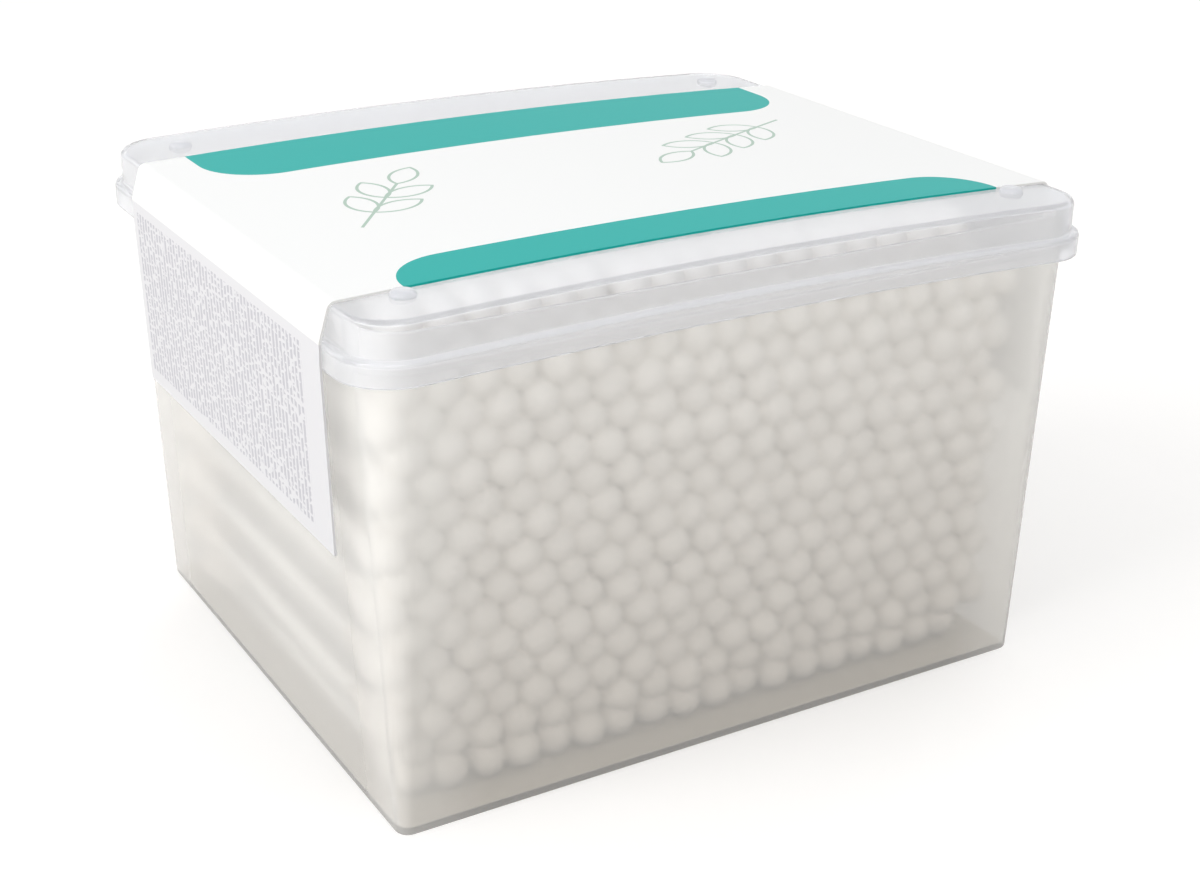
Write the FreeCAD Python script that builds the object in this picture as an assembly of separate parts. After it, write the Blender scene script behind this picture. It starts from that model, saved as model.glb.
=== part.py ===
"""Cotton swab box: a tapered frosted tub, an over-fitting lid, a printed label band and the swabs inside.

Millimetres, +Z up. The origin is the middle of the tub's underside, +X runs along the long front, and the
front face looks towards -Y. The swabs lie along Y, in staggered rows stacked from the floor to the lid.
"""
import FreeCAD, Part
import math
import os

# Tub
BASE_LENGTH = 101.4
BASE_WIDTH = 85.6
BASE_CORNER = 2.0
TUB_WALL = 0.8
FLOOR = 0.9
FLOOR_EDGE = 0.6
SEAT_HEIGHT = 64.6
FLANGE_THICKNESS = 1.0
NECK_TO_LID = 0.7

# Lid
LID_LENGTH = 109.0
LID_WIDTH = 91.2
LID_CORNER = 6.8
LID_WALL = 0.8
LID_SKIRT = 4.6
LID_CROWN = 1.2
LID_EDGE = 0.8
RIM_STEP = 1.1
RIM_DROP = 2.4
SHOULDER_EDGE = 0.4
NUB_RADIUS = 1.7
NUB_TOP_RADIUS = 1.2
NUB_HEIGHT = 0.8
NUB_SIDES = 12
NUB_TO_LID_END = 8.4
NUB_TO_LID_SIDE = 7.8
FIT_GAP = 0.3
CUT_OVERRUN = 1.0
LEVEL_MARGIN = 0.2

# Label band
LABEL_WIDTH = 66.9
LABEL_OFF_CENTRE = 2.45
LABEL_THICKNESS = 0.3
LABEL_DROP = 31.8
LABEL_FOLD = 0.9
LABEL_GAP = 0.05
LABEL_LEAN = 0.8

# Swabs
SWAB_LENGTH = 75.0
STICK_RADIUS = 1.15
HEAD_RADIUS = 2.4
HEAD_LENGTH = 14.0
HEAD_SHOULDER = 2.6
SWAB_SIDES = 5
SWAB_PITCH = 5.15
ROW_PITCH = 4.15
SWAB_GAP = 0.1
LID_HEADROOM = 1.0
MISSING_COUNTS = (1, 2)

SHOULDER = SEAT_HEIGHT + LID_WALL
LID_TOP = SHOULDER + LID_SKIRT
NECK_TOP = LID_TOP - LID_WALL - NECK_TO_LID
MOUTH_LENGTH = LID_LENGTH - 2 * (LID_WALL + FIT_GAP)
MOUTH_WIDTH = LID_WIDTH - 2 * (LID_WALL + FIT_GAP)
MOUTH_CORNER = LID_CORNER - LID_WALL - FIT_GAP
RIM_LENGTH = LID_LENGTH + 2 * RIM_STEP
RIM_WIDTH = LID_WIDTH + 2 * RIM_STEP
RIM_CORNER = LID_CORNER + RIM_STEP
HALF_RIM = RIM_LENGTH / 2


def outline(length, width, corner, z, inset=0.0):
    """Rounded rectangle about the Z axis at height z, shrunk by inset on every side."""
    x = length / 2 - inset
    y = width / 2 - inset
    r = corner - inset
    s = r * (1 - math.sqrt(0.5))
    points = [(x, r - y), (x, y - r), (x - s, y - s), (x - r, y), (r - x, y), (s - x, y - s),
              (-x, y - r), (-x, r - y), (s - x, s - y), (r - x, -y), (x - r, -y), (x - s, s - y)]
    v = [FreeCAD.Vector(px, py, z) for px, py in points]
    edges = []
    for k in range(0, 12, 3):
        edges.append(Part.LineSegment(v[k], v[k + 1]).toShape())
        edges.append(Part.Arc(v[k + 1], v[k + 2], v[(k + 3) % 12]).toShape())
    return Part.Wire(edges)


def prism(length, width, corner, low, high, inset=0.0):
    """Upright block with the outline above, between two heights."""
    face = Part.Face(outline(length, width, corner, low, inset))
    return face.extrude(FreeCAD.Vector(0, 0, high - low))


def crown_rise(x):
    """How far the arched lid stands above its ends at a distance x from the middle."""
    return LID_CROWN * (1 - (x / HALF_RIM) ** 2)


def arch(z, x_from, x_to):
    """Arc in the XZ plane that runs at height z above the lid's ends, raised by the crown."""
    ends = [FreeCAD.Vector(x, 0, z + crown_rise(x)) for x in (x_from, (x_from + x_to) / 2, x_to)]
    return Part.Arc(*ends).toShape()


def arched_prism(length, width, corner, low, high, inset=0.0):
    """The block above, with its bottom and top following the lid's lengthwise arch."""
    x = HALF_RIM + LID_CORNER
    bottom = arch(low, -x, x)
    top = arch(high, x, -x)
    low_end = low + crown_rise(x)
    high_end = high + crown_rise(x)
    right = Part.makeLine(FreeCAD.Vector(x, 0, low_end), FreeCAD.Vector(x, 0, high_end))
    left = Part.makeLine(FreeCAD.Vector(-x, 0, high_end), FreeCAD.Vector(-x, 0, low_end))
    slab = Part.Face(Part.Wire([bottom, right, top, left]))
    slab.translate(FreeCAD.Vector(0, -width, 0))
    slab = slab.extrude(FreeCAD.Vector(0, 2 * width, 0))
    block = prism(length, width, corner, low - 2 * LID_CROWN, high + 2 * LID_CROWN, inset)
    return block.common(slab).Solids[0]


def top_edges(shape, height):
    """Edges round the arched top of a block that stands this high at its ends."""
    return [e for e in shape.Edges if e.BoundBox.ZMin > height - LEVEL_MARGIN]


def tub_outline(z, inset):
    """Outline of the tapered tub at height z, shrunk by inset on every side."""
    t = z / SEAT_HEIGHT
    length = BASE_LENGTH + (MOUTH_LENGTH - BASE_LENGTH) * t
    width = BASE_WIDTH + (MOUTH_WIDTH - BASE_WIDTH) * t
    return outline(length, width, BASE_CORNER + (MOUTH_CORNER - BASE_CORNER) * t, z, inset)


def tapered(inset, low):
    """Tapered body of the tub from height low to the seat, shrunk by inset, with a sloping foot edge."""
    foot = FLOOR_EDGE - inset / 2
    levels = [tub_outline(low, inset + foot), tub_outline(low + foot, inset), tub_outline(SEAT_HEIGHT, inset)]
    return Part.makeLoft(levels, True, True)


def tub():
    """Tub: thin tapered walls, a flange all round that carries the lid, and a neck inside the lid."""
    flange = prism(RIM_LENGTH, RIM_WIDTH, RIM_CORNER, SEAT_HEIGHT - FLANGE_THICKNESS, SEAT_HEIGHT,
                   LID_WALL + FIT_GAP)
    neck = prism(MOUTH_LENGTH, MOUTH_WIDTH, MOUTH_CORNER, SEAT_HEIGHT, NECK_TOP)
    mouth = prism(MOUTH_LENGTH, MOUTH_WIDTH, MOUTH_CORNER, SEAT_HEIGHT, NECK_TOP + CUT_OVERRUN, TUB_WALL)
    hollow = tapered(TUB_WALL, FLOOR).fuse(mouth)
    return tapered(0, 0).fuse([flange, neck]).cut(hollow).removeSplitter().Solids[0]


def many_sided(x, y, z, radius, sides):
    """Level many-sided outline about the point x, y, z."""
    turns = [2 * math.pi * k / sides for k in range(sides + 1)]
    points = [(x + radius * math.cos(a), y + radius * math.sin(a), z) for a in turns]
    return Part.makePolygon([FreeCAD.Vector(*p) for p in points])


def nub(x, y):
    """Small stacking nub, narrower at its top, rooted in the lid's top panel."""
    foot = LID_TOP + crown_rise(x) - LID_WALL / 2
    top = LID_TOP + crown_rise(x) + NUB_HEIGHT
    return Part.makeLoft([many_sided(x, y, foot, NUB_RADIUS, NUB_SIDES),
                          many_sided(x, y, top, NUB_TOP_RADIUS, NUB_SIDES)], True, True)


def lid():
    """Lid: arched top panel, short skirt, and a rim stepped out over the tub's flange."""
    rim_bottom = SEAT_HEIGHT - RIM_DROP
    top = arched_prism(LID_LENGTH, LID_WIDTH, LID_CORNER, SHOULDER - LID_WALL, LID_TOP)
    top = top.makeChamfer(LID_EDGE, top_edges(top, LID_TOP))
    rim = arched_prism(RIM_LENGTH, RIM_WIDTH, RIM_CORNER, rim_bottom, SHOULDER)
    rim = rim.makeChamfer(SHOULDER_EDGE, top_edges(rim, SHOULDER))
    under_top = arched_prism(LID_LENGTH, LID_WIDTH, LID_CORNER, rim_bottom, LID_TOP - LID_WALL, LID_WALL)
    low = rim_bottom - CUT_OVERRUN
    under_rim = arched_prism(RIM_LENGTH, RIM_WIDTH, RIM_CORNER, low, SEAT_HEIGHT, LID_WALL)
    shell = top.fuse(rim).cut(under_top.fuse(under_rim))
    x = LID_LENGTH / 2 - NUB_TO_LID_END
    y = LID_WIDTH / 2 - NUB_TO_LID_SIDE
    nubs = [nub(sx * x, sy * y) for sx in (-1, 1) for sy in (-1, 1)]
    return shell.fuse(nubs).removeSplitter().Solids[0]


def label_path(offset):
    """Half of the label's section, from its middle to its hanging end, offset outwards."""
    over = LID_TOP + LABEL_GAP + offset
    fold = LABEL_FOLD + offset
    out = HALF_RIM + LABEL_GAP + offset
    bend_x = LID_LENGTH / 2 + LABEL_GAP - LABEL_FOLD
    lean = math.atan2(HALF_RIM - LID_LENGTH / 2, LID_TOP - LABEL_FOLD - SHOULDER)
    middle = FreeCAD.Vector(0, 0, over + crown_rise(0))
    start = FreeCAD.Vector(bend_x, 0, over + crown_rise(bend_x))
    centre = start - FreeCAD.Vector(0, 0, fold)

    def round_point(angle):
        return centre + FreeCAD.Vector(fold * math.sin(angle), 0, fold * math.cos(angle))
    turn = math.pi / 2 - lean
    knee_z = centre.z + fold * math.cos(turn) - (out - round_point(turn).x) / math.tan(lean)
    knee = FreeCAD.Vector(out, 0, knee_z)
    rim_foot = FreeCAD.Vector(out, 0, SEAT_HEIGHT - RIM_DROP)
    end = FreeCAD.Vector(out - LABEL_LEAN, 0, LID_TOP - LABEL_DROP)
    quarter = FreeCAD.Vector(bend_x / 2, 0, over + crown_rise(bend_x / 2))
    return [Part.Arc(middle, quarter, start).toShape(),
            Part.Arc(start, round_point(turn / 2), round_point(turn)).toShape(),
            Part.makeLine(round_point(turn), knee),
            Part.makeLine(knee, rim_foot),
            Part.makeLine(rim_foot, end)]


def label_band():
    """One printed strip over the lid's top, folded at both short sides, its hanging ends leaning in."""
    inner = label_path(0)
    outer = label_path(LABEL_THICKNESS)
    end = Part.makeLine(inner[-1].Vertexes[-1].Point, outer[-1].Vertexes[-1].Point)
    middle = Part.makeLine(inner[0].Vertexes[0].Point, outer[0].Vertexes[0].Point)
    section = Part.Face(Part.Wire(Part.__sortEdges__(inner + [end] + outer + [middle])))
    section.translate(FreeCAD.Vector(0, -LABEL_WIDTH / 2 - LABEL_OFF_CENTRE, 0))
    right = section.extrude(FreeCAD.Vector(0, LABEL_WIDTH, 0))
    left = right.mirror(FreeCAD.Vector(0, 0, 0), FreeCAD.Vector(1, 0, 0))
    return right.fuse(left).removeSplitter().Solids[0]


def ring(y, radius):
    """Corner points of the swab's many-sided section at a place along its length."""
    turns = [2 * math.pi * k / SWAB_SIDES for k in range(SWAB_SIDES)]
    return [FreeCAD.Vector(radius * math.sin(a), y, radius * math.cos(a)) for a in turns]


def swab():
    """Paper stick with a bud wound on each end, widest near the tip and thinning to the stick."""
    half = SWAB_LENGTH / 2
    rings = [ring(HEAD_SHOULDER - half, HEAD_RADIUS), ring(HEAD_LENGTH - half, STICK_RADIUS),
             ring(half - HEAD_LENGTH, STICK_RADIUS), ring(half - HEAD_SHOULDER, HEAD_RADIUS)]
    tips = [FreeCAD.Vector(0, -half, 0), FreeCAD.Vector(0, half, 0)]
    faces = []
    for k in range(SWAB_SIDES):
        n = (k + 1) % SWAB_SIDES
        for a, b in zip(rings, rings[1:]):
            faces.append(Part.Face(Part.makePolygon([a[k], a[n], b[n], b[k], a[k]])))
        for tip, end in zip(tips, (rings[0], rings[-1])):
            faces.append(Part.Face(Part.makePolygon([tip, end[k], end[n], tip])))
    return Part.Solid(Part.Shell(faces))


def swab_rows():
    """Rows of separate swabs: as many as fit under the lid, each as long as the tub is at its height."""
    one = swab()
    first = FLOOR + SWAB_GAP + HEAD_RADIUS
    headroom = LID_TOP - LID_WALL - LID_HEADROOM - HEAD_RADIUS
    count = 1 + int((headroom - first) / ROW_PITCH)
    missing = [0] * (count - len(MISSING_COUNTS)) + list(MISSING_COUNTS)
    rows = []
    for row in range(count):
        z = first + row * ROW_PITCH
        inside = BASE_LENGTH + (MOUTH_LENGTH - BASE_LENGTH) * min(z / SEAT_HEIGHT, 1) - 2 * TUB_WALL
        stagger = SWAB_PITCH / 4 if row % 2 else -SWAB_PITCH / 4
        room = inside / 2 - abs(stagger) - HEAD_RADIUS - SWAB_GAP
        fit = 1 + int(2 * room / SWAB_PITCH)
        left = -(fit - 1) / 2 * SWAB_PITCH + stagger
        places = [FreeCAD.Vector(left + k * SWAB_PITCH, 0, z) for k in range(fit - missing[row])]
        rows.append(Part.makeCompound([one.translated(place) for place in places]))
    return rows


def main():
    os.makedirs("parts", exist_ok=True)
    nodes = {"tub": tub(), "lid": lid(), "label_band": label_band()}
    for number, row in enumerate(swab_rows(), 1):
        nodes[f"swab_row_{number:02d}"] = row
    for name, shape in nodes.items():
        shape.exportStep(f"parts/{name}.step")
        print(name, "solids", len(shape.Solids), "valid", shape.isValid(), "volume", round(shape.Volume, 1))


main()
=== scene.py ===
"""Cotton swab box: the looks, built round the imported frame.

Metres, +Z up, the long front looks towards -Y. Sizes that the frame doesn't give are written in millimetres
and turned into metres by MM.
"""
import bpy
import bmesh
import math
import random
from mathutils import Matrix, Vector, noise


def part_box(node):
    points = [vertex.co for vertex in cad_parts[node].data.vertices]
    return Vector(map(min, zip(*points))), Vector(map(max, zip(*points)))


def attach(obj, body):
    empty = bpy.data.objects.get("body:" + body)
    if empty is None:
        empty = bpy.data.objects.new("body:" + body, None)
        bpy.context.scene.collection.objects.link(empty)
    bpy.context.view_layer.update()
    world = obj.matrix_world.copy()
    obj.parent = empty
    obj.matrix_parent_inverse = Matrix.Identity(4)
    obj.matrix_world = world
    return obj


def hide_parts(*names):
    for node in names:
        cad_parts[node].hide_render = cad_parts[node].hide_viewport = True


MM = 0.001

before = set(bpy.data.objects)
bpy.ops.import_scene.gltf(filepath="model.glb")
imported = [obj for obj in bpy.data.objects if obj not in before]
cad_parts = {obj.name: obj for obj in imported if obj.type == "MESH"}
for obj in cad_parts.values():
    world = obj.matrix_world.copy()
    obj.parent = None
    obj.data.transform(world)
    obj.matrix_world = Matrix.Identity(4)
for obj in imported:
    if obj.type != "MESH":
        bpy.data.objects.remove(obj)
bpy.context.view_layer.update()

# Sizes read from the frame
TUB_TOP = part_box("tub")[1].z
LID_LOW, LID_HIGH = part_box("lid")
LABEL_LOW, LABEL_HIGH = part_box("label_band")
ROW_NODES = sorted(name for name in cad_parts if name.startswith("swab_row_"))

# Plastic
WALL = 0.8 * MM
FLOOR = 0.9 * MM
FOOT_ROUND = 0.6 * MM
EDGE_ROUND = 0.2 * MM
TUB_BASE = (101.4 * MM, 85.6 * MM, 2.0 * MM)
FLANGE = 1.0 * MM
NECK = 3.9 * MM
FIT_GAP = 0.3 * MM
RIM_STEP = 1.1 * MM
RIM_CORNER = 7.9 * MM
CROWN = 1.2 * MM
LID_EDGE = 0.8 * MM
SHOULDER_ROUND = 0.4 * MM
RIM_DROP = 2.4 * MM
NUB_RADIUS = 1.7 * MM
NUB_HEIGHT = 0.8 * MM
NUB_ROOT = WALL / 4
NUB_TO_LID_END = 8.4 * MM
NUB_TO_LID_SIDE = 7.8 * MM
# A nub's shares of its radius and height, from its side to its top
NUB_PROFILE = ((0.97, 0.35), (0.8, 0.8), (0.5, 1.0))

# How finely the plastic is divided
ARC_STEPS = 8
SIDE_STEPS = 12
FOOT_STEPS = 5
LID_EDGE_STEPS = 4
SHOULDER_STEPS = 3
NUB_SIDES = 20
PANEL_SHARES = (0.15, 0.4, 0.65, 0.85)
BEVEL_STEPS = 2
HARD_EDGE = math.radians(40)

# Swabs
SWAB_LENGTH = 75.0 * MM
STICK_RADIUS = 1.15 * MM
STICK_OVERLAP = 1.0 * MM
BUD_RADIUS = 2.9 * MM
BUD_LENGTH = 14.0 * MM
BUD_WIDEST = 3.2 * MM
BUD_BLUNTNESS = 2.3
BUD_NECK = STICK_RADIUS * 1.05
BUD_RINGS = 11
BUD_SEGMENTS = 14
RING_CROWDING = 1.7
TIP_GAP = 0.02 * MM
PRESS_GAP = 0.08 * MM
SOLID_RADIUS = 2.4 * MM
SOLID_SIDES = 5
SWAB_PITCH = 5.15 * MM

# How uneven the swabs are: a bud's size, the depth and fineness of its swellings, and each swab's shift in
# millimetres and turn in degrees
SEED = 7
SWAB_SHAPES = 9
BUD_SIZES = (0.94, 1.04)
SWELLS = ((0.10, 0.9), (0.05, 2.7))
NOISE_REACH = 9
SWAB_SHIFT = (0.25, 0.7, 0.15)
SWAB_SKEW = 0.35

# Frosted plastic: colours from foot to lid, where two differ as painted shade and light, clearness of the
# faces and corners, roughness from foot to lid, and the share of soft light that is let in
# Tub walls: darker and warmer at the foot, paler at the lid, as painted shade and light from above
TUB_WALL_LOOK = {"colours": [(0.88, 0.865, 0.84, 1), (0.985, 0.98, 0.965, 1)], "clearness": [0.72, 0.56],
                 "roughness": (0.14, 0.235), "passed": 0.96}
# Tub floor: a dark brownish, nearly clear-less plastic that paints the shade under the packed swabs
TUB_FLOOR_SHADE_LOOK = {"colours": [(0.44, 0.395, 0.325, 1)], "clearness": [0.1],
                  "roughness": (0.3, 0.36), "passed": 0.3}
LID_LOOK = {"colours": [(0.92, 0.93, 0.96, 1)], "clearness": [0.74],
            "roughness": (0.14, 0.16), "passed": 0.97}
PLASTIC_IOR = 1.3
CLOUDINESS = 0.03
CLOUD_SCALE = 90.0
# The haze at the corners begins and is full this far inside the foot's outline
MILKY_REACH = 14.0 * MM
MILKY_FULL = 1.0 * MM

# Bumps made by noise, with its scale per metre
RIPPLES = {"scale": 260.0, "detail": 2.0, "distance": 0.05 * MM, "strength": 0.3}
FIBRES = {"scale": 2600.0, "detail": 4.0, "distance": 0.15 * MM, "strength": 0.6}
LABEL_TOOTH = {"scale": 500.0, "detail": 2.0, "distance": 0.02 * MM, "strength": 0.2}

# Cotton and paper
COTTON_TONES = ((0.93, 0.915, 0.89, 1), (0.97, 0.955, 0.935, 1))
# Painted shade on the cotton: dark and warm at the foot, near white at the lid's shoulder
COTTON_PAINTED_SHADE = ((0.69, 0.65, 0.60, 1), (1, 0.99, 0.975, 1))
TONE_SCALE = 350.0
TONE_DETAIL = 3.0
STICK_TONES = ((0.80, 0.79, 0.76, 1), (0.88, 0.87, 0.84, 1))
GRAIN_SCALE = 2400.0
GRAIN_STRETCH = 0.06
GRAIN_DEPTH = 0.05 * MM
GRAIN_STRENGTH = 0.3

# Printed strip
PAPER_WHITE = (0.93, 0.935, 0.93, 1)
SIDE_WHITE = (0.785, 0.785, 0.81, 1)
TEAL = (0.014, 0.43, 0.395, 1)
SAGE = (0.45, 0.58, 0.50, 1)
PRINT_GREY = (0.57, 0.565, 0.61, 1)
LABEL_PASSED = 0.92
BACK_BAND = {"half_length": 47.85 * MM, "depth": 15.4 * MM, "corner": 9.5 * MM}
FRONT_BAND = {"half_length": 45.1 * MM, "depth": 8.6 * MM, "corner": 8.4 * MM}
BAND_OVERRUN = 20.0 * MM
LINE_WIDTH = 0.45 * MM
LEAF_CURVE = 0.8
# Sprigs: root x, root y, heading in degrees, number of stem steps
SPRIGS = [(-40 * MM, -13 * MM, 52, 3), (40 * MM, 9 * MM, 206, 4)]
STEM_STEP = 6.5 * MM
LEAF_LENGTH = 8.0 * MM
LEAF_SPREAD = math.radians(38)
SIDE_PRINT_DEPTH = 3.0 * MM
SIDE_PRINT_Y = (-30.4 * MM, 29.4 * MM)
SIDE_PRINT_Z = (40.2 * MM, 64.0 * MM)
COLUMN_PITCH = 1.15 * MM
COLUMN_SHARE = 0.6
SPECK_SCALE = 2000.0
SPECK_LEVEL = 0.42

# Stage, in metres
FLOOR_SIZE = 3.0
FLOOR_LIGHT_COLOUR = (0.54, 0.52, 0.49, 1)
FLOOR_SEEN_COLOUR = (0.84, 0.83, 0.82, 1)
FLOOR_GLOW = 0.25
WHITE = (1, 1, 1, 1)
SKY_STRENGTH = (0.40, 0.82)
SEEN_STRENGTH = 1.0
# Lamps: place, side of the square, power in watts, and whether glossy plastic mirrors it
LAMPS = {
    "key": ((-0.88, 0.05, 0.58), 0.6, 3.5, True),
    "fill": ((-0.42, -0.77, 0.58), 0.5, 2.75, True),
    "back_fill": ((0.7, 0.6, 0.45), 0.6, 1.3, False),
    "low_card": ((-0.36, 0.0, 0.05), 0.15, 0.17, False),
}

# Camera, fitted to the box's edges in the photograph
CAMERA_PLACE = Vector((-133.92, -228.01, 142.54)) * MM
CAMERA_TURN = math.radians(31.07)
CAMERA_DOWN = math.radians(23.44)
CAMERA_ROLL = math.radians(0.95)
CAMERA_LENS = 57.36
CAMERA_CLIP = 0.01


def shrunk(outline, inset):
    """Length, width and corner radius of an outline moved inwards on every side."""
    length, width, corner = outline
    return (length - 2 * inset, width - 2 * inset, corner - inset)


# Outlines and heights that follow from the sizes
RIM = (LID_HIGH.x - LID_LOW.x, LID_HIGH.y - LID_LOW.y, RIM_CORNER)
LID = shrunk(RIM, RIM_STEP)
SKIRT_INSIDE = shrunk(LID, WALL)
MOUTH = shrunk(LID, WALL + FIT_GAP)
SEAT = TUB_TOP - NECK
SHOULDER = SEAT + WALL
LID_TOP = LID_HIGH.z - CROWN


def crown(x):
    """Rise of the arched lid at a distance x from its middle."""
    return CROWN * (1 - (2 * x / RIM[0]) ** 2)


def tub_outline(z):
    """Outline of the tapered tub at a height."""
    share = z / SEAT
    return tuple(base + (mouth - base) * share for base, mouth in zip(TUB_BASE, MOUTH))


# Meshes

def ring(outline, z, inset=0.0, arched=False, scale=1.0):
    """Points round a rounded rectangle, counter-clockwise, the same number whatever its size."""
    length, width, corner = shrunk(outline, inset)
    centres = [(length / 2 - corner, width / 2 - corner), (corner - length / 2, width / 2 - corner),
               (corner - length / 2, corner - width / 2), (length / 2 - corner, corner - width / 2)]
    points = []
    for turn, (cx, cy) in enumerate(centres):
        for step in range(ARC_STEPS + 1):
            angle = math.pi / 2 * (turn + step / ARC_STEPS)
            points.append(Vector((cx + corner * math.cos(angle), cy + corner * math.sin(angle), z)))
        start = points[-1]
        next_x, next_y = centres[(turn + 1) % 4]
        end = Vector((next_x + corner * math.cos(angle), next_y + corner * math.sin(angle), z))
        points += [start.lerp(end, step / SIDE_STEPS) for step in range(1, SIDE_STEPS)]
    points = [Vector((p.x * scale, p.y * scale, z)) for p in points]
    if arched:
        points = [p + Vector((0, 0, crown(p.x))) for p in points]
    return points


def quarter_round(radius, steps):
    """Rise and inset of each ring of a rounded edge, from its flat side to its upright side."""
    angles = [math.pi / 2 * k / steps for k in range(steps + 1)]
    return [(radius * (1 - math.cos(angle)), radius * (1 - math.sin(angle))) for angle in angles]


def circle(radius, sides):
    """Pairs of coordinates round a circle about the origin."""
    angles = [2 * math.pi * k / sides for k in range(sides)]
    return [(radius * math.cos(angle), radius * math.sin(angle)) for angle in angles]


def skin(mesh, rings):
    """Quads between rings of equal count, with a flat cap at each end."""
    loops = [[mesh.verts.new(p) for p in points] for points in rings]
    count = len(loops[0])
    for low, high in zip(loops, loops[1:]):
        for k in range(count):
            n = (k + 1) % count
            mesh.faces.new((low[k], low[n], high[n], high[k]))
    mesh.faces.new(loops[0][::-1])
    mesh.faces.new(loops[-1])


def finished_object(name, mesh, materials, bevel=None):
    """Object from a bmesh: smooth shaded, with its hard edges lightly rounded where a bevel is given."""
    bmesh.ops.recalc_face_normals(mesh, faces=mesh.faces)
    for face in mesh.faces:
        face.smooth = True
    data = bpy.data.meshes.new(name)
    mesh.to_mesh(data)
    mesh.free()
    piece = bpy.data.objects.new(name, data)
    bpy.context.collection.objects.link(piece)
    for material in materials:
        data.materials.append(material)
    if bevel:
        rounding = piece.modifiers.new("edge_rounding", "BEVEL")
        rounding.width = bevel
        rounding.segments = BEVEL_STEPS
        rounding.limit_method = "ANGLE"
        rounding.angle_limit = HARD_EDGE
        normals = piece.modifiers.new("even_shading", "WEIGHTED_NORMAL")
        normals.keep_sharp = True
    return piece


# Nodes, where add makes a node and link joins two sockets

def node_adder(tree):
    """Call that adds a node with its settings to a node tree."""
    def add(kind, **settings):
        node = tree.nodes.new(kind)
        for key, value in settings.items():
            setattr(node, key, value)
        return node
    return add


def new_material(name):
    """Material with its link call, its shader and its add call."""
    material = bpy.data.materials.new(name)
    material.use_nodes = True
    tree = material.node_tree
    return material, tree.links.new, tree.nodes["Principled BSDF"], node_adder(tree)


def put(link, socket, value):
    """Fixed value, or another node's output, into a socket."""
    if isinstance(value, bpy.types.NodeSocket):
        link(value, socket)
    else:
        socket.default_value = value


def dress(link, shader, look):
    """Fixed values or outputs into the shader's inputs, by their names."""
    for name, value in look.items():
        put(link, shader.inputs[name], value)


def plain_math(add, link, operation, *values):
    """Result of a Math node."""
    node = add("ShaderNodeMath", operation=operation)
    for socket, value in zip(node.inputs, values):
        put(link, socket, value)
    return node.outputs["Value"]


def vector_math(add, link, operation, *values):
    """Result of a Vector Math node: a number for a length or distance, or else a vector."""
    node = add("ShaderNodeVectorMath", operation=operation)
    for socket, value in zip(node.inputs, values):
        put(link, socket, value)
    return node.outputs["Value" if operation in ("LENGTH", "DISTANCE") else "Vector"]


def split(add, link, vector):
    """The X, Y and Z outputs of a vector."""
    node = add("ShaderNodeSeparateXYZ")
    link(vector, node.inputs["Vector"])
    return node.outputs


def object_place(add):
    """Place on the piece, in metres from the frame's origin."""
    return add("ShaderNodeTexCoord").outputs["Object"]


def ranged(add, link, value, source, target, **settings):
    """Value turned from one range, (low, high), into another."""
    node = add("ShaderNodeMapRange", **settings)
    for name, number in zip(("From Min", "From Max", "To Min", "To Max"), (*source, *target)):
        node.inputs[name].default_value = number
    link(value, node.inputs["Value"])
    return node.outputs["Result"]


def rising(add, link, place):
    """Value from 0 at the foot to 1 at the lid's shoulder."""
    return ranged(add, link, split(add, link, place)["Z"], (0, SHOULDER), (0, 1))


def near_corners(add, link, place):
    """Value that rises to 1 at the tub's four upright corners."""
    folded = split(add, link, vector_math(add, link, "ABSOLUTE", place))
    closeness = []
    for axis, across in zip("XY", TUB_BASE):
        reach = (across / 2 - MILKY_REACH, across / 2 - MILKY_FULL)
        closeness.append(ranged(add, link, folded[axis], reach, (0, 1), interpolation_type="SMOOTHSTEP"))
    return plain_math(add, link, "MULTIPLY", *closeness)


def noise_node(add, link, coordinates, scale, detail=2.0):
    """Noise texture of a scale given per metre."""
    node = add("ShaderNodeTexNoise")
    node.inputs["Scale"].default_value = scale
    node.inputs["Detail"].default_value = detail
    link(coordinates, node.inputs["Vector"])
    return node.outputs["Fac"]


def bump(add, link, height, distance, strength):
    """Normal of a surface that is bumped by a distance in metres."""
    node = add("ShaderNodeBump")
    node.inputs["Distance"].default_value = distance
    node.inputs["Strength"].default_value = strength
    link(height, node.inputs["Height"])
    return node.outputs["Normal"]


def noise_bump(add, link, place, scale, detail, distance, strength):
    """Normal of a surface that is bumped by noise."""
    return bump(add, link, noise_node(add, link, place, scale, detail), distance, strength)


def painted(add, link, under, colour, mask, **settings):
    """Colour laid over another, or blended with it, where the mask is 1."""
    mix = add("ShaderNodeMix", data_type="RGBA", **settings)
    put(link, mix.inputs["A"], under)
    put(link, mix.inputs["B"], colour)
    put(link, mix.inputs["Factor"], mask)
    return mix.outputs["Result"]


def let_light_in(material, add, link, shader, passed):
    """Soft light goes straight through a thin sheet, dimmed to the given share."""
    path = add("ShaderNodeLightPath")
    clear = add("ShaderNodeBsdfTransparent")
    clear.inputs["Color"].default_value = (passed, passed, passed, 1)
    surface = shader.outputs["BSDF"]
    for ray in ("Is Shadow Ray", "Is Diffuse Ray"):
        mix = add("ShaderNodeMixShader")
        link(path.outputs[ray], mix.inputs["Fac"])
        link(surface, mix.inputs[1])
        link(clear.outputs["BSDF"], mix.inputs[2])
        surface = mix.outputs["Shader"]
    link(surface, material.node_tree.nodes["Material Output"].inputs["Surface"])


def seen_share(add, link):
    """1 for rays that show the surroundings, straight or in plastic, and 0 for the light that they give."""
    path = add("ShaderNodeLightPath")
    seen = path.outputs["Is Camera Ray"]
    for ray in ("Is Glossy Ray", "Is Transmission Ray"):
        seen = plain_math(add, link, "MAXIMUM", seen, path.outputs[ray])
    return seen


# Materials

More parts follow.
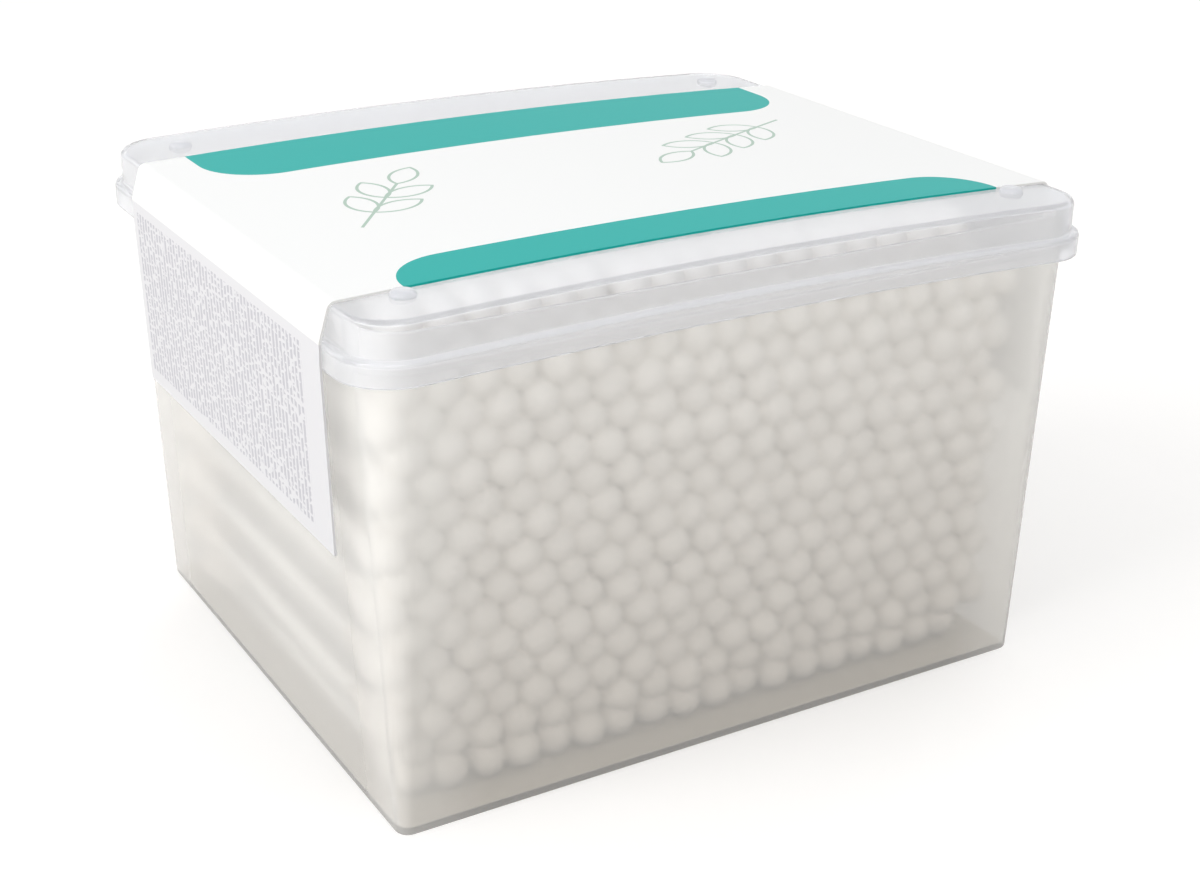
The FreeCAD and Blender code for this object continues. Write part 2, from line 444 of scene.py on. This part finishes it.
def frosted_plastic(name, colours, clearness, roughness, passed):
    """Thin frosted polypropylene: blurs what is behind it, with a milky haze, and lets soft light in.

    Two colours run from the foot to the lid's shoulder, as painted shade and light: darker below, paler
    above.
    Two clearnesses run from the faces to the tub's upright corners. A single one is the same all over.
    """
    material, link, shader, add = new_material(name)
    place = object_place(add)
    colour = colours[0]
    # Painted shade and light: the plastic's colour darkens towards the foot and pales towards the lid's
    # shoulder
    if len(colours) > 1:
        colour = painted(add, link, *colours, rising(add, link, place))
    clear = clearness[0]
    if len(clearness) > 1:
        clear = ranged(add, link, near_corners(add, link, place), (0, 1), clearness)
    cloudy = ranged(add, link, noise_node(add, link, place, CLOUD_SCALE), (0, 1), (-CLOUDINESS, CLOUDINESS))
    hazier = ranged(add, link, rising(add, link, place), (0, 1), roughness)
    dress(link, shader, {
        "Base Color": colour,
        "Transmission Weight": clear,
        "IOR": PLASTIC_IOR,
        "Roughness": plain_math(add, link, "ADD", cloudy, hazier),
        "Normal": noise_bump(add, link, place, **RIPPLES),
    })
    let_light_in(material, add, link, shader, passed)
    return material


def cotton(name):
    """Wound cotton: matt white fibres with soft tone changes, and painted shade that makes it darker and
    warmer towards the foot.
    """
    material, link, shader, add = new_material(name)
    place = object_place(add)
    tone = painted(add, link, *COTTON_TONES, noise_node(add, link, place, TONE_SCALE, TONE_DETAIL))
    # Painted shade: the cotton darkens towards the foot, where less light reaches the lower swabs
    depth = painted(add, link, *COTTON_PAINTED_SHADE, rising(add, link, place))
    dress(link, shader, {
        "Base Color": painted(add, link, tone, depth, 1, blend_type="MULTIPLY"),
        "Roughness": 0.95,
        "Specular IOR Level": 0.2,
        "Sheen Weight": 0.25,
        "Normal": noise_bump(add, link, place, **FIBRES),
    })
    return material


def paper_stick(name):
    """Rolled paper: white with faint lengthwise grain."""
    material, link, shader, add = new_material(name)
    stretch = add("ShaderNodeMapping")
    stretch.inputs["Scale"].default_value = (1, GRAIN_STRETCH, 1)
    link(object_place(add), stretch.inputs["Vector"])
    grain = noise_node(add, link, stretch.outputs["Vector"], GRAIN_SCALE)
    dress(link, shader, {
        "Base Color": painted(add, link, *STICK_TONES, grain),
        "Roughness": 0.7,
        "Normal": bump(add, link, grain, GRAIN_DEPTH, GRAIN_STRENGTH),
    })
    return material


def levelled(add, link, place):
    """Place with its height left out."""
    return vector_math(add, link, "MULTIPLY", place, (1, 1, 0))


def rounded_patch(add, link, place, centre, half, corner):
    """Mask, 1 inside a rounded rectangle on the label's top."""
    offset = vector_math(add, link, "SUBTRACT", levelled(add, link, place), (*centre, 0))
    folded = vector_math(add, link, "ABSOLUTE", offset)
    beyond = vector_math(add, link, "SUBTRACT", folded, (half[0] - corner, half[1] - corner, 0))
    outside = vector_math(add, link, "MAXIMUM", beyond, (0, 0, 0))
    distance = vector_math(add, link, "LENGTH", outside)
    return plain_math(add, link, "LESS_THAN", distance, corner)


def from_middle(add, link, place, root, heading, length):
    """Place along and across a line on the label's top, measured from the line's middle."""
    middle = root + Vector((math.cos(heading), math.sin(heading))) * length / 2
    local = add("ShaderNodeMapping", vector_type="TEXTURE")
    local.inputs["Location"].default_value = (middle.x, middle.y, 0)
    local.inputs["Rotation"].default_value = (0, 0, heading)
    link(levelled(add, link, place), local.inputs["Vector"])
    return local.outputs["Vector"]


def leaf(add, link, place, root, heading):
    """Mask, 1 on the thin outline of a pointed leaf that starts at root: two arcs that cross at its ends."""
    local = from_middle(add, link, place, root, heading, LEAF_LENGTH)
    sag = LEAF_CURVE * LEAF_LENGTH / 2
    radius = math.hypot(LEAF_LENGTH / 2, sag)
    sides = [vector_math(add, link, "DISTANCE", local, (0, y, 0)) for y in (sag, -sag)]
    further = plain_math(add, link, "MAXIMUM", *sides)
    return plain_math(add, link, "COMPARE", further, radius, LINE_WIDTH / 2)


def stem(add, link, place, root, heading, length):
    """Mask, 1 on a straight thin line."""
    local = from_middle(add, link, place, root, heading, length)
    folded = vector_math(add, link, "ABSOLUTE", local)
    over = split(add, link, vector_math(add, link, "SUBTRACT", folded, (length / 2, LINE_WIDTH / 2, 1)))
    furthest = plain_math(add, link, "MAXIMUM", over["X"], over["Y"])
    return plain_math(add, link, "LESS_THAN", furthest, 0.0)


def sprigs(add, link, place):
    """Mask of the two plain leafy sprigs."""
    masks = []
    for x, y, degrees, steps in SPRIGS:
        root = Vector((x, y))
        heading = math.radians(degrees)
        along = Vector((math.cos(heading), math.sin(heading)))
        masks.append(stem(add, link, place, root, heading, STEM_STEP * steps))
        for step in range(1, steps):
            for spread in (-LEAF_SPREAD, LEAF_SPREAD):
                masks.append(leaf(add, link, place, root + along * STEM_STEP * step, heading + spread))
        masks.append(leaf(add, link, place, root + along * STEM_STEP * steps, heading))
    mask = masks[0]
    for other in masks[1:]:
        mask = plain_math(add, link, "MAXIMUM", mask, other)
    return mask


def teal_field(add, link, place, band, edge):
    """Mask of a field that runs off the strip's front or back edge, with round inner corners."""
    away = math.copysign(BAND_OVERRUN, edge)
    inner = edge - math.copysign(band["depth"], edge)
    centre = (0, (inner + edge + away) / 2)
    half = (band["half_length"], abs(edge + away - inner) / 2)
    return rounded_patch(add, link, place, centre, half, band["corner"])


def side_print(add, link, parts, place):
    """Mask of the left side's pale field of fine upright columns."""
    mask = plain_math(add, link, "LESS_THAN", parts["X"], LABEL_LOW.x + SIDE_PRINT_DEPTH)
    for axis, (low, high) in (("Y", SIDE_PRINT_Y), ("Z", SIDE_PRINT_Z)):
        inside = plain_math(add, link, "COMPARE", parts[axis], (low + high) / 2, (high - low) / 2)
        mask = plain_math(add, link, "MULTIPLY", mask, inside)
    column = plain_math(add, link, "WRAP", parts["Y"], COLUMN_PITCH, 0.0)
    column = plain_math(add, link, "LESS_THAN", column, COLUMN_PITCH * COLUMN_SHARE)
    stretch = add("ShaderNodeMapping")
    stretch.inputs["Scale"].default_value = (1, 1 / COLUMN_PITCH / SPECK_SCALE, 1)
    link(place, stretch.inputs["Vector"])
    specks = noise_node(add, link, stretch.outputs["Vector"], SPECK_SCALE, 0.0)
    specks = plain_math(add, link, "GREATER_THAN", specks, SPECK_LEVEL)
    mask = plain_math(add, link, "MULTIPLY", mask, column)
    return plain_math(add, link, "MULTIPLY", mask, specks)


def printed_label(name):
    """White label stock: two teal fields and thin sprigs on top, and a pale grey field on the left side."""
    material, link, shader, add = new_material(name)
    place = object_place(add)
    parts = split(add, link, place)
    on_top = plain_math(add, link, "GREATER_THAN", parts["Z"], SHOULDER)
    colour = painted(add, link, SIDE_WHITE, PAPER_WHITE, on_top)
    top_prints = [(SAGE, sprigs(add, link, place)),
                  (TEAL, teal_field(add, link, place, BACK_BAND, LABEL_HIGH.y)),
                  (TEAL, teal_field(add, link, place, FRONT_BAND, LABEL_LOW.y))]
    for ink, mask in top_prints:
        colour = painted(add, link, colour, ink, plain_math(add, link, "MULTIPLY", mask, on_top))
    colour = painted(add, link, colour, PRINT_GREY, side_print(add, link, parts, place))
    dress(link, shader, {
        "Base Color": colour,
        "Roughness": 0.42,
        "Specular IOR Level": 0.12,
        "Normal": noise_bump(add, link, place, **LABEL_TOOTH),
    })
    let_light_in(material, add, link, shader, LABEL_PASSED)
    return material


# Tub

def foot_rings(low, inset, radius):
    """Rings round the rounded foot, from its flat underside to the wall."""
    return [ring(tub_outline(low + rise), low + rise, inset + further)
            for rise, further in quarter_round(radius, FOOT_STEPS)]


def make_tub(walls, floor):
    """Open tapered tub with a flange that carries the lid and a neck that stands inside it."""
    mesh = bmesh.new()
    flange = shrunk(RIM, WALL + FIT_GAP)
    under_flange = SEAT - FLANGE
    rings = foot_rings(0, 0, FOOT_ROUND)
    for outline, z, inset in ((tub_outline(under_flange), under_flange, 0), (flange, under_flange, 0),
                              (flange, SEAT, 0), (MOUTH, SEAT, 0), (MOUTH, TUB_TOP, 0),
                              (MOUTH, TUB_TOP, WALL), (MOUTH, SEAT, WALL)):
        rings.append(ring(outline, z, inset))
    rings += foot_rings(FLOOR, WALL, FOOT_ROUND - WALL / 2)[::-1]
    skin(mesh, rings)
    # Only the flat caps, the floor's two faces, have more than four corners; they take the dark floor
    # plastic, painted shade
    for face in mesh.faces:
        if len(face.verts) > 4:
            face.material_index = 1
    piece = finished_object("frosted_tub", mesh, [walls, floor], EDGE_ROUND)
    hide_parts("tub")
    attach(piece, "tub")


# Lid

def panel_rings(outline, z, inset):
    """Rings that carry the arched panel from near its middle to near its edge."""
    return [ring(outline, z, inset, True, share) for share in PANEL_SHARES]


def add_nub(mesh, x, y):
    """Low round nub on the lid's top panel."""
    base = LID_TOP + crown(x)
    levels = [(NUB_RADIUS, -NUB_ROOT)]
    levels += [(NUB_RADIUS * across, NUB_HEIGHT * up) for across, up in NUB_PROFILE]
    skin(mesh, [[Vector((x + dx, y + dy, base + rise)) for dx, dy in circle(radius, NUB_SIDES)]
                for radius, rise in levels])


def make_lid(material):
    """Arched lid: top panel, skirt, stepped rim and four nubs."""
    mesh = bmesh.new()
    rim_bottom = SEAT - RIM_DROP
    panel_inside = LID_TOP - WALL
    rings = panel_rings(LID, LID_TOP, LID_EDGE)
    for drop, inset in quarter_round(LID_EDGE, LID_EDGE_STEPS):
        rings.append(ring(LID, LID_TOP - drop, inset, True))
    rings.append(ring(LID, SHOULDER, 0, True))
    for drop, inset in quarter_round(SHOULDER_ROUND, SHOULDER_STEPS):
        rings.append(ring(RIM, SHOULDER - drop, inset, True))
    for outline, z, inset in ((RIM, rim_bottom, 0), (RIM, rim_bottom, WALL), (RIM, SEAT, WALL),
                              (SKIRT_INSIDE, SEAT, 0), (SKIRT_INSIDE, panel_inside, 0)):
        rings.append(ring(outline, z, inset, True))
    rings += panel_rings(SKIRT_INSIDE, panel_inside, 0)[::-1]
    skin(mesh, rings)
    for sx in (-1, 1):
        for sy in (-1, 1):
            add_nub(mesh, sx * (LID[0] / 2 - NUB_TO_LID_END), sy * (LID[1] / 2 - NUB_TO_LID_SIDE))
    piece = finished_object("frosted_lid", mesh, [material], EDGE_ROUND)
    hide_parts("lid")
    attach(piece, "lid")


# Swabs

def bud_radius(along):
    """Radius of the wound bud at a distance from its tip."""
    if along < BUD_WIDEST:
        return BUD_RADIUS * math.sqrt(1 - (1 - along / BUD_WIDEST) ** BUD_BLUNTNESS)
    share = (along - BUD_WIDEST) / (BUD_LENGTH - BUD_WIDEST)
    return BUD_NECK + (BUD_RADIUS - BUD_NECK) * (0.5 + 0.5 * math.cos(math.pi * share))


def bud_ring(along, end, size, seed):
    """Points round a bud at a distance from its tip, uneven as wound cotton is."""
    points = []
    for s in range(BUD_SEGMENTS):
        angle = 2 * math.pi * s / BUD_SEGMENTS
        spot = Vector((math.cos(angle), along / BUD_RADIUS, math.sin(angle)))
        swell = sum((depth * noise.noise(spot * fineness + seed) for depth, fineness in SWELLS), 1)
        radius = bud_radius(along) * size * swell
        y = end * (SWAB_LENGTH / 2 - along)
        points.append(Vector((radius * math.cos(angle), y, radius * math.sin(angle))))
    return points


def swab_shape(rng):
    """Rings of points for the three parts of a swab along Y: its two buds and its stick."""
    parts = []
    for end in (-1, 1):
        size = rng.uniform(*BUD_SIZES)
        seed = Vector([rng.uniform(0, NOISE_REACH) for _ in range(3)])
        distances = [BUD_LENGTH * (k / BUD_RINGS) ** RING_CROWDING + TIP_GAP for k in range(BUD_RINGS + 1)]
        parts.append([bud_ring(along, end, size, seed) for along in distances])
    reach = SWAB_LENGTH / 2 - BUD_LENGTH + STICK_OVERLAP
    parts.append([[Vector((x, y, z)) for x, z in circle(STICK_RADIUS, BUD_SEGMENTS)]
                  for y in (-reach, reach)])
    return parts


def pressed(point):
    """Point held inside the tub, as soft cotton is pressed flat by a wall or the floor."""
    limit = tub_outline(min(point.z, SEAT))[0] / 2 - WALL - PRESS_GAP
    return Vector((max(-limit, min(limit, point.x)), point.y, max(point.z, FLOOR + PRESS_GAP)))


def add_swab(mesh, shape, place):
    """One swab set into a row's mesh: its buds in the first material and its stick in the second."""
    for rings, material_index in zip(shape, (0, 0, 1)):
        first = len(mesh.faces)
        skin(mesh, [[pressed(place @ p) for p in points] for points in rings])
        mesh.faces.ensure_lookup_table()
        for face in mesh.faces[first:]:
            face.material_index = material_index


def make_swab_row(node, shapes, materials, rng):
    """The fine swabs of one row, where the row's solids are."""
    low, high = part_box(node)
    reach = SOLID_RADIUS * math.sin(2 * math.pi / SOLID_SIDES)
    first_x = low.x + reach
    count = 1 + round((high.x - reach - first_x) / SWAB_PITCH)
    z = high.z - SOLID_RADIUS
    mesh = bmesh.new()
    for k in range(count):
        shift = Vector([rng.uniform(-most, most) for most in SWAB_SHIFT]) * MM
        place = Matrix.Translation(Vector((first_x + k * SWAB_PITCH, 0, z)) + shift)
        skew = Matrix.Rotation(math.radians(rng.uniform(-SWAB_SKEW, SWAB_SKEW)), 4, "Z")
        spin = Matrix.Rotation(rng.uniform(0, 2 * math.pi), 4, "Y")
        add_swab(mesh, rng.choice(shapes), place @ skew @ spin)
    piece = finished_object("fine_" + node, mesh, materials)
    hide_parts(node)
    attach(piece, "tub")


# Stage

def make_floor():
    """White floor that keeps the box's soft shadow and is paler where it is seen."""
    mesh = bmesh.new()
    bmesh.ops.create_grid(mesh, x_segments=1, y_segments=1, size=FLOOR_SIZE)
    material, link, shader, add = new_material("floor_white")
    seen = seen_share(add, link)
    dress(link, shader, {
        "Base Color": painted(add, link, FLOOR_LIGHT_COLOUR, FLOOR_SEEN_COLOUR, seen),
        "Roughness": 0.9,
        "Specular IOR Level": 0.0,
        "Emission Color": WHITE,
        "Emission Strength": plain_math(add, link, "MULTIPLY", seen, FLOOR_GLOW),
    })
    floor = finished_object("floor", mesh, [material])


def make_world():
    """White surroundings: soft light, brighter from overhead, and pure white where they are seen."""
    world = bpy.data.worlds.new("studio")
    bpy.context.scene.world = world
    world.use_nodes = True
    tree = world.node_tree
    add, link = node_adder(tree), tree.links.new
    direction = split(add, link, add("ShaderNodeTexCoord").outputs["Generated"])
    overhead = ranged(add, link, direction["Z"], (0, 1), SKY_STRENGTH)
    strength = add("ShaderNodeMapRange")
    strength.inputs["To Max"].default_value = SEEN_STRENGTH
    link(overhead, strength.inputs["To Min"])
    link(seen_share(add, link), strength.inputs["Value"])
    background = tree.nodes["Background"]
    background.inputs["Color"].default_value = WHITE
    link(strength.outputs["Result"], background.inputs["Strength"])


def make_light(name, place, size, power, mirrored):
    """Square soft light that faces the box, with or without its own reflection in the glossy plastic."""
    lamp = bpy.data.lights.new(name, "AREA")
    lamp.size = size
    lamp.energy = power
    light = bpy.data.objects.new(name, lamp)
    light.location = place
    target = Vector((0, 0, LID_TOP / 2))
    light.rotation_euler = (target - Vector(place)).to_track_quat("-Z", "Y").to_euler()
    light.visible_camera = False
    light.visible_glossy = mirrored
    light.visible_transmission = mirrored
    bpy.context.collection.objects.link(light)


def make_camera():
    """Camera where the photographer stood."""
    camera = bpy.data.objects.new("camera", bpy.data.cameras.new("camera"))
    camera.data.lens = CAMERA_LENS
    camera.data.clip_start = CAMERA_CLIP
    turn = Matrix.Rotation(-CAMERA_TURN, 4, "Z") @ Matrix.Rotation(math.pi / 2 - CAMERA_DOWN, 4, "X")
    camera.matrix_world = Matrix.Translation(CAMERA_PLACE) @ turn @ Matrix.Rotation(CAMERA_ROLL, 4, "Z")
    bpy.context.collection.objects.link(camera)
    bpy.context.scene.camera = camera


make_tub(frosted_plastic("frosted_tub_plastic", **TUB_WALL_LOOK),
         frosted_plastic("frosted_tub_floor_painted_shade", **TUB_FLOOR_SHADE_LOOK))
make_lid(frosted_plastic("frosted_lid_plastic", **LID_LOOK))
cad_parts["label_band"].material_slots[0].material = printed_label("printed_label")
rng = random.Random(SEED)
shapes = [swab_shape(rng) for _ in range(SWAB_SHAPES)]
swab_materials = [cotton("wound_cotton"), paper_stick("paper_stick")]
for row_node in ROW_NODES:
    make_swab_row(row_node, shapes, swab_materials, rng)
make_floor()
make_world()
for lamp_name, settings in LAMPS.items():
    make_light(lamp_name, *settings)
make_camera()
bpy.context.scene.view_settings.view_transform = "Standard"
